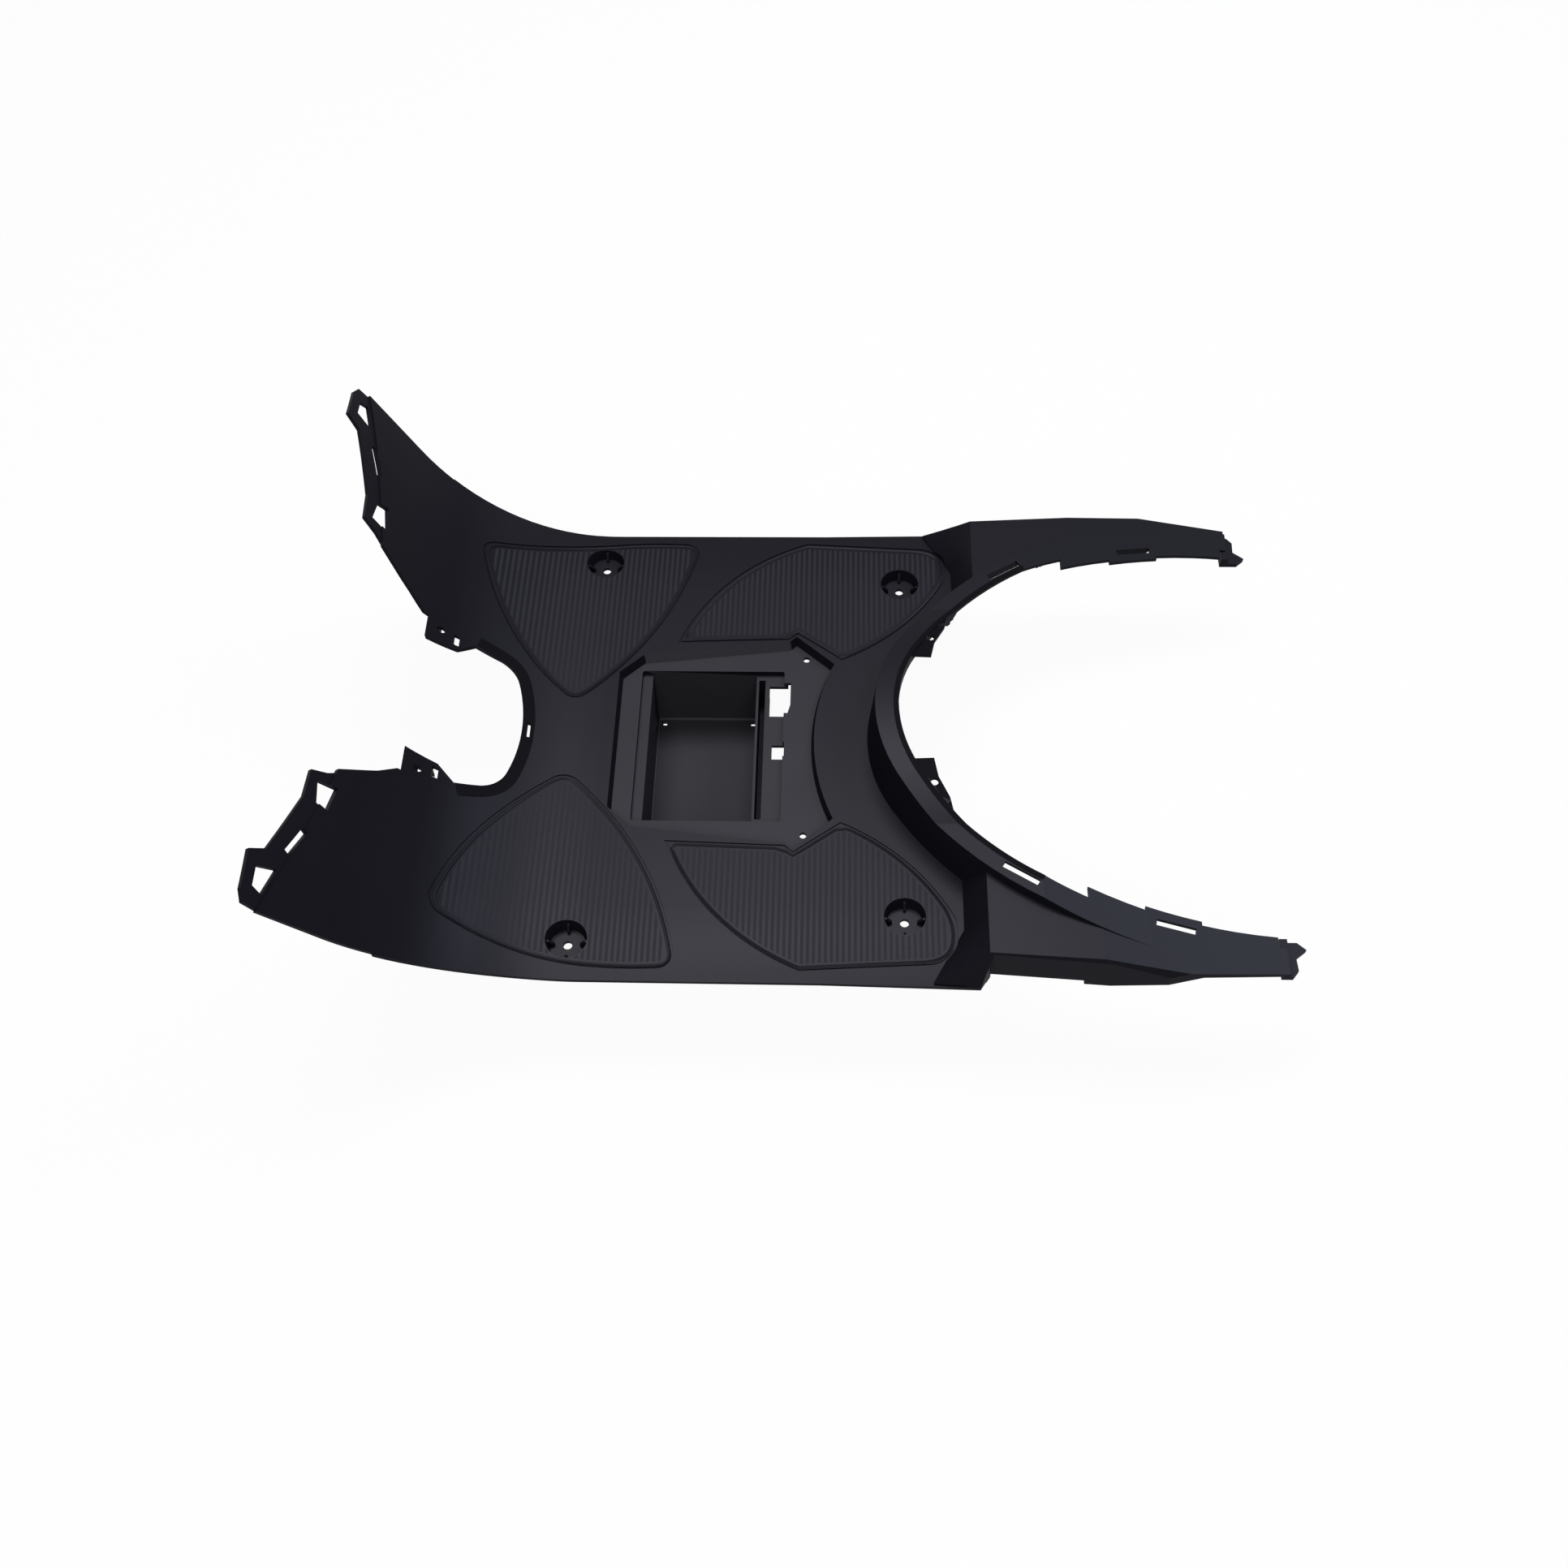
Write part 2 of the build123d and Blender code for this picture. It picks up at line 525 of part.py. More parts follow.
def main():
    """Builds the panel and writes it out."""
    plan = floor_face()
    outline = column(plan) + wing_column(wing_face())
    rim_rib = column(grown(plan, -RIM_RIB_INSET) - grown(plan, -RIM_RIB_INSET - RIB_WALL))
    cross_ribs = (Part() + floor_ribs()) & column(grown(plan, -RIM_RIB_INSET - RIB_WALL / 2))
    mass, hollows = rear_moulding(plan)
    underside = sheet(-SKIN, -RIB_DEPTH - SKIN) - [rim_rib, cross_ribs]
    flange = sheet(-FLANGE_DROP, -FLANGE_DROP - FLANGE_SKIN) & wing_column(flange_face())
    pan, well = battery_well()
    bosses, cups, gussets = bolt_pits()
    slots = [column(slot_face(ends, ARM_SLOT_WIDTH)) for ends in ARM_SLOTS]
    tab_hole = Pos(*TAB_HOLE) * Circle(TAB_HOLE_R) + Pos(*TAB_SLOT) * Rectangle(*TAB_SLOT_SIZE)
    apex_slot = Pos(FRONT_APEX_X + APEX_SLOT_INSET, 0) * Rectangle(*APEX_SLOT_SIZE)
    holes = [both_sides(hole) for hole in (*slots, column(tab_hole))]
    loops = [wing_column(face) for face in flange_holes()]
    body = (sheet(0, -RIB_DEPTH) + mass) & outline
    body = body - underside - hollows
    body += [flange, *pan, *bosses]
    body -= [*well, *cups]
    for added in (*gussets, *rear_clips()):
        body += added
    for cut in (*pad_grooves(), *holes, *loops, column(apex_slot)):
        body -= cut
    panel = Pos(-FRONT_BOLT[0], 0, PIT_DEPTH + PIT_FLOOR) * body
    os.makedirs("parts", exist_ok=True)
    export_step(panel, "parts/floorboard.step")


if __name__ == "__main__":
    main()
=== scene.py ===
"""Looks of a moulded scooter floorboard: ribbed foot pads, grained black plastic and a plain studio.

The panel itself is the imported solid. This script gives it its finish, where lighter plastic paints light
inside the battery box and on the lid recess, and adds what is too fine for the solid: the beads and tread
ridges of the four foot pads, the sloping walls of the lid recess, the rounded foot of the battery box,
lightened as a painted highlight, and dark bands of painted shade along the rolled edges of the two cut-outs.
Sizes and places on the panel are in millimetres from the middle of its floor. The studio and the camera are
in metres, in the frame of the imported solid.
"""
import logging
import math
from collections.abc import Callable, Sequence
from dataclasses import dataclass, field
from enum import Enum
from functools import cached_property

import bpy
from mathutils import Matrix, Vector


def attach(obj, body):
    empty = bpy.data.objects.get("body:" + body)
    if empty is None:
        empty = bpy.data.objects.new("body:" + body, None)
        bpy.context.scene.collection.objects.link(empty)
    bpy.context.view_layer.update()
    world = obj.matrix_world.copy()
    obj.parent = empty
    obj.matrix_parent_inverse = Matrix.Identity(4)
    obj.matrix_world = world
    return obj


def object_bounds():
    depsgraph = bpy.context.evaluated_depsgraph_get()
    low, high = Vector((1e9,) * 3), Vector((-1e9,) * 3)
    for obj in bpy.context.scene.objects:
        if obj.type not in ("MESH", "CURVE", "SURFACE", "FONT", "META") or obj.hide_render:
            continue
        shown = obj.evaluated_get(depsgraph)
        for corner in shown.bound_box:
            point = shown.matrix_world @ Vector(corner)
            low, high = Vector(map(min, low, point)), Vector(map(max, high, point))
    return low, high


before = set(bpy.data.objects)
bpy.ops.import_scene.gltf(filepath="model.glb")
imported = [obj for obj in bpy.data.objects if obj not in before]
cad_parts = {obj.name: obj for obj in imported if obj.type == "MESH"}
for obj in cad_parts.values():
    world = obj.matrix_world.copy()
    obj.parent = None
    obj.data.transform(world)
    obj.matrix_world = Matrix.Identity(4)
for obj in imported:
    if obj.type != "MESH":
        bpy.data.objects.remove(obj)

LOG = logging.getLogger("floorboard")
MM = 0.001
BODY = "root"
PANEL_NODE = "floorboard"
CAD_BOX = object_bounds()
SMOOTH_ANGLE = math.radians(40)
# Corners of a drawn outline that lie nearer than this are one, in millimetres.
MERGE_GAP = 0.01

Point = tuple[float, float]
Spot = tuple[float, float, float]
Colour = tuple[float, float, float]


class Side(Enum):
    """The two mirrored halves of the panel, by the sign of their y."""

    RIGHT = 1
    LEFT = -1


class Opening(Enum):
    """The end of the panel that a cut-out opens to, by the sign of its x."""

    FRONT = -1
    REAR = 1


class Socket(Enum):
    """The kinds of socket on a node group, by Blender's names."""

    VALUE = "NodeSocketFloat"
    VECTOR = "NodeSocketVector"
    COLOUR = "NodeSocketColor"


def select_only(piece: bpy.types.Object) -> None:
    """Makes one object the only selected and the active one.

    Args:
        piece: The object.
    """
    bpy.ops.object.select_all(action="DESELECT")
    piece.select_set(True)
    bpy.context.view_layer.objects.active = piece


def apply_modifier(piece: bpy.types.Object, kind: str, **settings: object) -> None:
    """Adds a modifier with its settings and applies it.

    Args:
        piece: The object to change.
        kind: Blender's name of the modifier type.
        settings: Values of the modifier's own properties.
    """
    select_only(piece)
    modifier = piece.modifiers.new(kind.lower(), kind)
    for name, value in settings.items():
        setattr(modifier, name, value)
    bpy.ops.object.modifier_apply(modifier=modifier.name)


def shade_smooth(piece: bpy.types.Object) -> None:
    """Shades a piece smooth, apart from its sharp edges."""
    select_only(piece)
    bpy.ops.object.shade_smooth_by_angle(angle=SMOOTH_ANGLE)


def closed_curve(runs: Sequence[Sequence[Sequence[float]]], **settings: object) -> bpy.types.Object:
    """Closed runs of straight stretches, drawn as a curve at the origin and made a mesh.

    Args:
        runs: The corners of each run in order. On a filled curve, a run inside another is a hole in it.
        settings: Values of the curve's own properties.

    Returns:
        The mesh object, selected and active.
    """
    curve = bpy.data.curves.new("run", "CURVE")
    for name, value in settings.items():
        setattr(curve, name, value)
    for corners in runs:
        spline = curve.splines.new("POLY")
        spline.points.add(len(corners) - 1)
        for point, corner in zip(spline.points, corners):
            point.co = (*Vector(corner).to_3d(), 1)
        spline.use_cyclic_u = True
    piece = bpy.data.objects.new("run", curve)
    bpy.context.collection.objects.link(piece)
    select_only(piece)
    bpy.ops.object.convert(target="MESH")
    return bpy.context.active_object


def gap_to_segment(point: Point, start: Point, end: Point) -> float:
    """Distance from a point to a straight segment.

    Args:
        point: The point.
        start: Where the segment starts.
        end: Where the segment ends.

    Returns:
        The shortest distance.
    """
    run = (end[0] - start[0], end[1] - start[1])
    along = (point[0] - start[0]) * run[0] + (point[1] - start[1]) * run[1]
    share = min(1.0, max(0.0, along / (run[0] ** 2 + run[1] ** 2)))
    return math.dist(point, (start[0] + run[0] * share, start[1] + run[1] * share))


def bowed_side(start: Point, bow: Point | None, end: Point, step: float) -> list[Point]:
    """Points along one side of an outline, on the circle through its ends and its bow.

    Args:
        start: Where the side starts.
        bow: A point that it passes through, or None where it is straight.
        end: Where the side ends.
        step: Distance between points.

    Returns:
        The points with both ends.
    """
    count = max(2, round(math.dist(start, end) / step))
    shares = [i / count for i in range(count + 1)]
    (ax, ay), (cx, cy) = start, end
    if bow is None:
        return [(ax + (cx - ax) * share, ay + (cy - ay) * share) for share in shares]
    bx, by = bow
    twice = 2 * (ax * (by - cy) + bx * (cy - ay) + cx * (ay - by))
    a2, b2, c2 = ax * ax + ay * ay, bx * bx + by * by, cx * cx + cy * cy
    centre_x = (a2 * (by - cy) + b2 * (cy - ay) + c2 * (ay - by)) / twice
    centre_y = (a2 * (cx - bx) + b2 * (ax - cx) + c2 * (bx - ax)) / twice
    radius = math.dist((centre_x, centre_y), start)
    first = math.atan2(ay - centre_y, ax - centre_x)
    turn = math.remainder(math.atan2(cy - centre_y, cx - centre_x) - first, math.tau)
    angles = [first + turn * share for share in shares]
    return [(centre_x + radius * math.cos(angle), centre_y + radius * math.sin(angle)) for angle in angles]


@dataclass(frozen=True)
class FloorSheet:
    """The top face of the floor, which is crowned across and bends up into the wings."""

    middle_x: float = 120.0
    top_z: float = 13.0
    bend_start_x: float = -110.0
    bend_radius: float = 174.0
    crown_start_y: float = 150.0
    crown_radius: float = 540.0

    def height(self, x: float, y: float) -> float:
        """Height of the face above the flat of the floor.

        Args:
            x: Distance to the rear.
            y: Distance to the right.

        Returns:
            The height in millimetres.
        """
        past_bend = max(0.0, self.bend_start_x - x)
        slope = math.asin(past_bend / self.bend_radius)
        past_crown = max(0.0, abs(y) - self.crown_start_y)
        drop = self.crown_radius - math.sqrt(self.crown_radius**2 - past_crown**2)
        return self.bend_radius * (1 - math.cos(slope)) - drop / math.cos(slope)

    def place(self, x: float, y: float, above: float = 0.0) -> Vector:
        """A point on the face, raised by a distance, in the panel's frame in metres."""
        return Vector((x + self.middle_x, y, self.height(x, y) + self.top_z + above)) * MM

    def lay(self, piece: bpy.types.Object, above: float = 0.0) -> None:
        """Lays a mesh that was drawn on the flat in millimetres on the face, in metres.

        Args:
            piece: The mesh object.
            above: How far it is raised.
        """
        for vertex in piece.data.vertices:
            vertex.co = self.place(vertex.co.x, vertex.co.y, vertex.co.z + above)

    def spot(self, at: Vector) -> Spot:
        """A place in the panel's frame, in millimetres from the middle of the floor."""
        return at.x / MM - self.middle_x, at.y / MM, at.z / MM - self.top_z


@dataclass(frozen=True)
class RimCrest(FloorSheet):
    """The crest of the raised rear rim, which falls off to the sides as far as the arms."""

    crest_z: float = 47.0
    fall_radius: float = 425.0
    arm_z: float = 35.5

    def height(self, x: float, y: float) -> float:
        """Height of the crest above the flat of the floor, the same at every x."""
        return max(self.crest_z - self.fall_radius + math.sqrt(self.fall_radius**2 - y * y), self.arm_z)


FLOOR = FloorSheet()


def new_group(name: str, inputs: dict[str, Socket], outputs: dict[str, Socket]) -> bpy.types.NodeTree:
    """A new shader node group with named sockets.

    Args:
        name: The group's name.
        inputs: Names and kinds of the sockets on the way in.
        outputs: Names and kinds of the sockets on the way out.

    Returns:
        The group, with its two end nodes named "in" and "out".
    """
    group = bpy.data.node_groups.new(name, "ShaderNodeTree")
    for direction, sockets in (("INPUT", inputs), ("OUTPUT", outputs)):
        for socket, kind in sockets.items():
            group.interface.new_socket(socket, in_out=direction, socket_type=kind.value)
    group.nodes.new("NodeGroupInput").name = "in"
    group.nodes.new("NodeGroupOutput").name = "out"
    return group


@dataclass(frozen=True)
class MouldFace:
    """The marks that the mould leaves on every plastic, each made once as a shader node group."""

    grain_detail: float = 3.0
    grain_roughness: float = 0.65
    # Upward part of a face's normal where the sheen starts, and where it is full.
    sheen_start: float = 0.71
    sheen_full: float = 0.97
    flow_detail: float = 4.0

    @cached_property
    def grain(self) -> bpy.types.NodeTree:
        """The fine spark-eroded grain, as a height.

        Returns:
            The node group.
        """
        inputs = {"Place": Socket.VECTOR, "Scale": Socket.VALUE}
        group = new_group("moulded_grain", inputs, {"Height": Socket.VALUE})
        nodes, links = group.nodes, group.links
        noise = nodes.new("ShaderNodeTexNoise")
        noise.inputs["Detail"].default_value = self.grain_detail
        noise.inputs["Roughness"].default_value = self.grain_roughness
        links.new(nodes["in"].outputs["Place"], noise.inputs["Vector"])
        links.new(nodes["in"].outputs["Scale"], noise.inputs["Scale"])
        links.new(noise.outputs["Fac"], nodes["out"].inputs["Height"])
        return group

    @cached_property
    def sheen(self) -> bpy.types.NodeTree:
        """The satin sheen of faces that lie nearly level, where the mould is smoothest.

        Returns:
            The node group.
        """
        group = new_group("level_sheen", {"Sheen": Socket.VALUE}, {"Weight": Socket.VALUE})
        nodes, links = group.nodes, group.links
        facing = nodes.new("ShaderNodeNewGeometry")
        parts = nodes.new("ShaderNodeSeparateXYZ")
        level = nodes.new("ShaderNodeMapRange")
        level.interpolation_type = "SMOOTHSTEP"
        level.inputs["From Min"].default_value = self.sheen_start
        level.inputs["From Max"].default_value = self.sheen_full
        links.new(facing.outputs["Normal"], parts.inputs["Vector"])
        links.new(parts.outputs["Z"], level.inputs["Value"])
        links.new(nodes["in"].outputs["Sheen"], level.inputs["To Max"])
        links.new(level.outputs["Result"], nodes["out"].inputs["Weight"])
        return group

    @cached_property
    def flow(self) -> bpy.types.NodeTree:
        """Broad, faint changes of colour and gloss that the plastic's flow leaves.

        Returns:
            The node group.
        """
        inputs = {
            "Place": Socket.VECTOR, "Scale": Socket.VALUE, "Dark": Socket.COLOUR,
            "Light": Socket.COLOUR, "Smooth": Socket.VALUE, "Rough": Socket.VALUE,
        }
        group = new_group("flow_marks", inputs, {"Colour": Socket.COLOUR, "Roughness": Socket.VALUE})
        nodes, links = group.nodes, group.links
        noise = nodes.new("ShaderNodeTexNoise")
        noise.inputs["Detail"].default_value = self.flow_detail
        mix = nodes.new("ShaderNodeMix")
        mix.data_type = "RGBA"
        gloss = nodes.new("ShaderNodeMapRange")
        links.new(nodes["in"].outputs["Place"], noise.inputs["Vector"])
        links.new(nodes["in"].outputs["Scale"], noise.inputs["Scale"])
        links.new(noise.outputs["Fac"], mix.inputs["Factor"])
        links.new(nodes["in"].outputs["Dark"], mix.inputs["A"])
        links.new(nodes["in"].outputs["Light"], mix.inputs["B"])
        links.new(noise.outputs["Fac"], gloss.inputs["Value"])
        links.new(nodes["in"].outputs["Smooth"], gloss.inputs["To Min"])
        links.new(nodes["in"].outputs["Rough"], gloss.inputs["To Max"])
        links.new(mix.outputs["Result"], nodes["out"].inputs["Colour"])
        links.new(gloss.outputs["Result"], nodes["out"].inputs["Roughness"])
        return group


MOULD = MouldFace()


@dataclass(frozen=True)
class MouldedPlastic:
    """A black moulded plastic with a fine grain, faint flow marks and a satin sheen on level faces."""

    name: str
    dark: Colour
    light: Colour
    roughness: tuple[float, float] = (0.45, 0.55)
    specular: float = 0.024
    sheen: float = 0.25
    sheen_roughness: float = 0.38
    grain_size: float = 1.1
    grain_depth: float = 0.03
    flow_size: float = 90.0

    def build(self) -> bpy.types.Material:
        """Makes the material from the marks of the mould.

        Returns:
            The new material.
        """
        material = bpy.data.materials.new(self.name)
        material.use_nodes = True
        nodes, links = material.node_tree.nodes, material.node_tree.links
        shader = nodes["Principled BSDF"]
        shader.inputs["Specular IOR Level"].default_value = self.specular
        shader.inputs["Coat Roughness"].default_value = self.sheen_roughness
        satin = self.placed(nodes, MOULD.sheen, {"Sheen": self.sheen})
        flow_values = {
            "Scale": 1 / (self.flow_size * MM), "Dark": (*self.dark, 1), "Light": (*self.light, 1),
            "Smooth": self.roughness[0], "Rough": self.roughness[1],
        }
        flow = self.placed(nodes, MOULD.flow, flow_values)
        grain = self.placed(nodes, MOULD.grain, {"Scale": 1 / (self.grain_size * MM)})
        place = nodes.new("ShaderNodeTexCoord")
        for marks in (flow, grain):
            links.new(place.outputs["Object"], marks.inputs["Place"])
        bump = nodes.new("ShaderNodeBump")
        bump.inputs["Strength"].default_value = 1.0
        bump.inputs["Distance"].default_value = self.grain_depth * MM
        links.new(satin.outputs["Weight"], shader.inputs["Coat Weight"])
        links.new(flow.outputs["Colour"], shader.inputs["Base Color"])
        links.new(flow.outputs["Roughness"], shader.inputs["Roughness"])
        links.new(grain.outputs["Height"], bump.inputs["Height"])
        links.new(bump.outputs["Normal"], shader.inputs["Normal"])
        return material

    @staticmethod
    def placed(
        nodes: bpy.types.Nodes, group: bpy.types.NodeTree, values: dict[str, float | tuple[float, ...]]
    ) -> bpy.types.Node:
        """Places a node group in the material with its own values.

        Args:
            nodes: The material's nodes.
            group: The group to place.
            values: Values of the group's sockets.

        Returns:
            The new node.
        """
        node = nodes.new("ShaderNodeGroup")
        node.node_tree = group
        for socket, value in values.items():
            node.inputs[socket].default_value = value
        return node


class Finish(Enum):
    """The plastics of the panel, which differ in tone and sheen."""

    SKIN = MouldedPlastic("body_plastic", dark=(0.008, 0.0077, 0.0105), light=(0.01, 0.0097, 0.0125))
    TREAD = MouldedPlastic(
        "tread_plastic", dark=(0.024, 0.0235, 0.028), light=(0.03, 0.0293, 0.034),
        sheen=0.04, sheen_roughness=0.55, grain_size=0.8,
    )
    # A lighter copy of the body plastic: painted light inside the battery box and on the recess's floor.
    PAINTED_LIGHT_WELL = MouldedPlastic(
        "well_plastic", dark=(0.029, 0.0285, 0.0308), light=(0.039, 0.0385, 0.0408), sheen=0.13
    )
    # A still lighter copy of the body plastic: painted light on the recess wall that faces -y, and a painted
    # highlight along the box's foot.
    PAINTED_HIGHLIGHT = MouldedPlastic("rubbed_plastic", dark=(0.055, 0.054, 0.06), light=(0.07, 0.069, 0.075))
    # Darker and without sheen: on the bands along the cut-outs' edges its darkness is painted shade; on the
    # rear tabs it darkens them.
    MATT = MouldedPlastic(
        "matt_plastic", dark=(0.005, 0.0048, 0.0062), light=(0.0065, 0.0063, 0.0078), sheen=0.0
    )


Plastics = dict[Finish, bpy.types.Material]


def put_on(
    piece: bpy.types.Object,
    plastics: Plastics,
    finishes: Sequence[Finish],
    choose: Callable[[bpy.types.MeshPolygon], Finish] | None = None,
) -> None:
    """Dresses a piece, face by face.

    Args:
        piece: The mesh object.
        plastics: The material of each finish.
        finishes: The finishes of the piece, the main one first.
        choose: Gives the finish of a face, where the piece has more than one.
    """
    piece.data.materials.clear()
    for finish in finishes:
        piece.data.materials.append(plastics[finish])
    for face in piece.data.polygons:
        face.material_index = finishes.index(choose(face)) if choose else 0


@dataclass(frozen=True)
class Corner:
    """A corner of a pad's outline, its rounding, and a point that the side after it bows through."""

    at: Point
    radius: float
    bow: Point | None = None

    def clears(self, point: Point) -> bool:
        """Whether a point lies outside the corner's rounding."""
        return math.dist(point, self.at) > self.radius


@dataclass(frozen=True)
class FootPad:
    """A mirrored pair of foot pads, each with a bead round its edge, fine ridges and room for a bolt pit."""

    name: str
    corners: tuple[Corner, ...]
    pit: Point
    outline_step: float = 6.0
    rounding_steps: int = 6
    # A moved point that comes nearer to the outline than this share of its inset is left out.
    crossing_share: float = 0.95
    bead_inset: float = 1.5
    bead_radius: float = 1.6
    bead_height: float = 0.7
    bead_resolution: int = 2
    field_inset: float = 4.5
    ridge_pitch: float = 4.2
    ridge_width: float = 2.3
    ridge_height: float = 0.15
    ridge_sides: int = 8
    ridge_cuts: int = 11
    pit_clear_radius: float = 15.6
    pit_sides: int = 64
    tool_reach: float = 20.0

    def outline(self, side: Side, inset: float) -> list[Point]:
        """The pad's outline with its corners rounded, moved inwards.

        Args:
            side: Which half of the panel the pad lies on.
            inset: How far inside the pad's edge the outline runs.

        Returns:
            Points round the outline.
        """
        sides = []
        for here, after in zip(self.corners, (*self.corners[1:], self.corners[0])):
            run = bowed_side(here.at, here.bow, after.at, self.outline_step)[1:-1]
            sides.append([point for point in run if here.clears(point) and after.clears(point)])
        points: list[Point] = []
        for i, corner in enumerate(self.corners):
            points += self.rounded_corner(sides[i - 1][-1], corner, sides[i][0])
            points += sides[i]
        return [(x, y * side.value) for x, y in self.moved_in(points, inset)]

    def rounded_corner(self, before: Point, corner: Corner, after: Point) -> list[Point]:
        """Points round one corner, between the sides on its two ends.

        Args:
            before: The last point of the side that ends here.
            corner: The corner itself.
            after: The first point of the side that starts here.

        Returns:
            The points between, or the corner alone where it is sharp.
        """
        if corner.radius == 0:
            return [corner.at]
        (ax, ay), (bx, by), (cx, cy) = before, corner.at, after
        points = []
        for i in range(1, self.rounding_steps):
            s = i / self.rounding_steps
            first, second, third = (1 - s) ** 2, 2 * s * (1 - s), s * s
            points.append((first * ax + second * bx + third * cx, first * ay + second * by + third * cy))
        return points

    def moved_in(self, points: list[Point], inset: float) -> list[Point]:
        """An outline moved inwards, point by point, square to its run.

        Args:
            points: Points round the outline.
            inset: How far they are moved.

        Returns:
            The moved points, without those that cross the outline's other sides near a corner.
        """
        edges = list(zip(points, points[1:] + points[:1]))
        turn = math.copysign(1.0, sum(a[0] * b[1] - b[0] * a[1] for a, b in edges))
        moved = []
        for i, (x, y) in enumerate(points):
            (px, py), (nx, ny) = points[i - 1], points[(i + 1) % len(points)]
            length = math.hypot(nx - px, ny - py)
            moved.append((x - turn * inset * (ny - py) / length, y + turn * inset * (nx - px) / length))
        nearest = self.crossing_share * inset
        return [point for point in moved if min(gap_to_segment(point, *edge) for edge in edges) > nearest]

    def build(self, side: Side) -> tuple[bpy.types.Object, bpy.types.Object]:
        """Builds one pad's ridges and the bead round them, on the floor.

        Args:
            side: Which half of the panel the pad lies on.

        Returns:
            The ridges and the bead, as finished mesh objects.
        """
        made = {"ridges": self.ridges(side), "bead": self.bead(side)}
        pit = self.pit_tool(side)
        for part, piece in made.items():
            apply_modifier(
                piece, "BOOLEAN", operation="DIFFERENCE", solver="EXACT", use_self=True, object=pit
            )
            piece.name = f"{self.name}_{part}_{side.name.lower()}"
            shade_smooth(piece)
        bpy.data.objects.remove(pit)
        return made["ridges"], made["bead"]

    def dress(self, ridges: bpy.types.Object, bead: bpy.types.Object, plastics: Plastics) -> None:
        """Gives the ridges the plastic of the tread and the bead that of the skin."""
        put_on(ridges, plastics, [Finish.TREAD])
        put_on(bead, plastics, [Finish.SKIN])

    def ridges(self, side: Side) -> bpy.types.Object:
        """The ridges: one bar repeated across the pad, trimmed to its field and laid on the floor.

        Args:
            side: Which half of the panel the pad lies on.

        Returns:
            The mesh object.
        """
        field_points = self.outline(side, self.field_inset)
        xs, ys = zip(*field_points)
        count = int((max(xs) - min(xs)) / self.ridge_pitch)
        first_x = (min(xs) + max(xs) - (count - 1) * self.ridge_pitch) / 2
        bar = self.ridge_bar(first_x, (min(ys) + max(ys)) / 2, max(ys) - min(ys) + self.ridge_pitch)
        apply_modifier(
            bar, "ARRAY", count=count, use_relative_offset=False, use_constant_offset=True,
            constant_offset_displace=(self.ridge_pitch, 0, 0),
        )
        stencil = self.stencil(field_points)
        apply_modifier(bar, "BOOLEAN", operation="INTERSECT", solver="EXACT", object=stencil)
        bpy.data.objects.remove(stencil)
        FLOOR.lay(bar)
        return bar

    def ridge_bar(self, x: float, y: float, length: float) -> bpy.types.Object:
        """A flattened bar across the pad, cut along its length so that it can follow the floor.

        Args:
            x: Where the bar lies along the panel.
            y: The middle of the bar across the panel.
            length: The bar's length.

        Returns:
            The mesh object, drawn on the flat.
        """
        bpy.ops.object.select_all(action="DESELECT")
        bpy.ops.mesh.primitive_cylinder_add(
            vertices=self.ridge_sides, radius=self.ridge_width / 2, depth=length,
            location=(x, y, 0), rotation=(math.pi / 2, math.pi / self.ridge_sides, 0),
        )
        bar = bpy.context.active_object
        bpy.ops.object.transform_apply(location=True, rotation=True, scale=True)
        bpy.ops.object.mode_set(mode="EDIT")
        bpy.ops.mesh.select_all(action="DESELECT")
        bpy.ops.mesh.select_mode(type="EDGE")
        bpy.ops.object.mode_set(mode="OBJECT")
        for edge in bar.data.edges:
            start, end = (bar.data.vertices[i].co for i in edge.vertices)
            edge.select = abs(end.y - start.y) > self.ridge_width
        bpy.ops.object.mode_set(mode="EDIT")
        bpy.ops.mesh.subdivide(number_cuts=self.ridge_cuts)
        bpy.ops.mesh.select_all(action="SELECT")
        bpy.ops.transform.resize(value=(1, 1, 2 * self.ridge_height / self.ridge_width))
        bpy.ops.object.mode_set(mode="OBJECT")
        return bar

    def stencil(self, points: list[Point]) -> bpy.types.Object:
        """A flat outline drawn out into a block that trims the ridges.

        Args:
            points: Points round the outline.

        Returns:
            The mesh object.
        """
        block = closed_curve([points], dimensions="2D", fill_mode="BOTH", extrude=self.tool_reach)
        bpy.ops.object.mode_set(mode="EDIT")
        bpy.ops.mesh.select_all(action="SELECT")
        bpy.ops.mesh.remove_doubles(threshold=MERGE_GAP)
        bpy.ops.mesh.normals_make_consistent(inside=False)
        bpy.ops.object.mode_set(mode="OBJECT")
        return block

    def bead(self, side: Side) -> bpy.types.Object:
        """The low round bead just inside the pad's edge.

        Args:
            side: Which half of the panel the pad lies on.

        Returns:
            The mesh object.
        """
        middle = self.bead_height - self.bead_radius
        run = [FLOOR.place(x, y, middle) for x, y in self.outline(side, self.bead_inset)]
        return closed_curve(
            [run], dimensions="3D", bevel_depth=self.bead_radius * MM, bevel_resolution=self.bead_resolution
        )

    def pit_tool(self, side: Side) -> bpy.types.Object:
        """A short post that keeps the bolt pit free of bead and ridges.

        Args:
            side: Which half of the panel the pad lies on.

        Returns:
            The mesh object.
        """
        bpy.ops.object.select_all(action="DESELECT")
        x, y = self.pit
        bpy.ops.mesh.primitive_cylinder_add(
            vertices=self.pit_sides, radius=self.pit_clear_radius * MM, depth=self.tool_reach * MM,
            location=FLOOR.place(x, y * side.value),
        )
        return bpy.context.active_object


